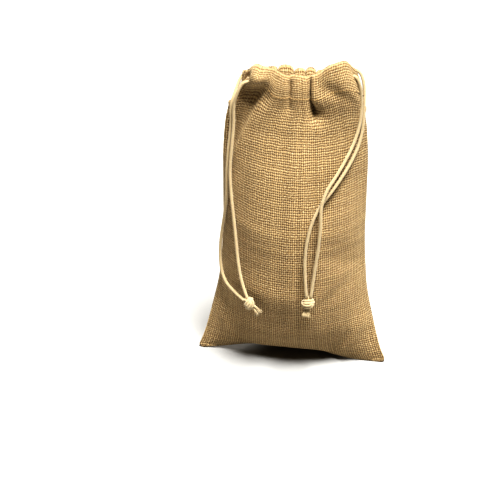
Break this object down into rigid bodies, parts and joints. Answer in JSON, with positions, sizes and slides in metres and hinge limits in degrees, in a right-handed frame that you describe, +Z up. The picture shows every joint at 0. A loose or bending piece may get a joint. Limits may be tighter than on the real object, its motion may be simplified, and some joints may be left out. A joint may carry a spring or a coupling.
{
  "type": "drawstring gift bag",
  "caption": "Upright burlap drawstring gift bag for one bottle, with a gathered mouth, a sewn casing and knotted cotton drawcords at both sides.",
  "frame": {"origin": "on the ground, at the middle of the standing bag's width and depth", "axes": "+X to the right across the width, -Y out of the front where both tails hang, +Z up towards the mouth"},
  "size_m": [0.176, 0.0902, 0.294],
  "materials": {
    "burlap": "matte coarse plain weave",
    "cotton_cord": "matte twisted cotton",
    "sewing_thread": "matte thread"
  },
  "bodies": {
    "bag": {"front_panel": "burlap", "back_panel": "burlap", "front_casing": "burlap", "back_casing": "burlap", "left_side_seam": "burlap", "right_side_seam": "burlap", "bottom_seam": "burlap", "left_seam_thread": "sewing_thread", "right_seam_thread": "sewing_thread", "bottom_seam_thread": "sewing_thread", "front_hem_thread": "sewing_thread", "back_hem_thread": "sewing_thread", "left_slit_tack": "sewing_thread", "right_slit_tack": "sewing_thread", "left_drawcord_run": "cotton_cord", "right_drawcord_run": "cotton_cord"},
    "left_draw": {"left_front_pull": "cotton_cord", "left_back_pull": "cotton_cord"},
    "left_tail": {"left_front_tail": "cotton_cord", "left_back_tail": "cotton_cord", "left_knot": "cotton_cord", "left_cord_ends": "cotton_cord"},
    "right_draw": {"right_front_pull": "cotton_cord", "right_back_pull": "cotton_cord"},
    "right_tail": {"right_front_tail": "cotton_cord", "right_back_tail": "cotton_cord", "right_knot": "cotton_cord", "right_cord_ends": "cotton_cord"}
  },
  "joints": [
    {"name": "left_cord_draw", "type": "slide", "parent": "bag", "child": "left_draw", "axis": [-1, 0, 0], "range_m": [0, 0.05]},
    {"name": "left_tail_swing", "type": "hinge", "parent": "left_draw", "child": "left_tail", "pos_m": [-0.0534, -0.0094, 0.255], "axis": [-0.866, 0.5, 0], "range_deg": [0, 90]},
    {"name": "right_cord_draw", "type": "slide", "parent": "bag", "child": "right_draw", "axis": [1, 0, 0], "range_m": [0, 0.05]},
    {"name": "right_tail_swing", "type": "hinge", "parent": "right_draw", "child": "right_tail", "pos_m": [0.0588, -0.0025, 0.262], "axis": [-0.866, -0.5, 0], "range_deg": [0, 90]}
  ]
}
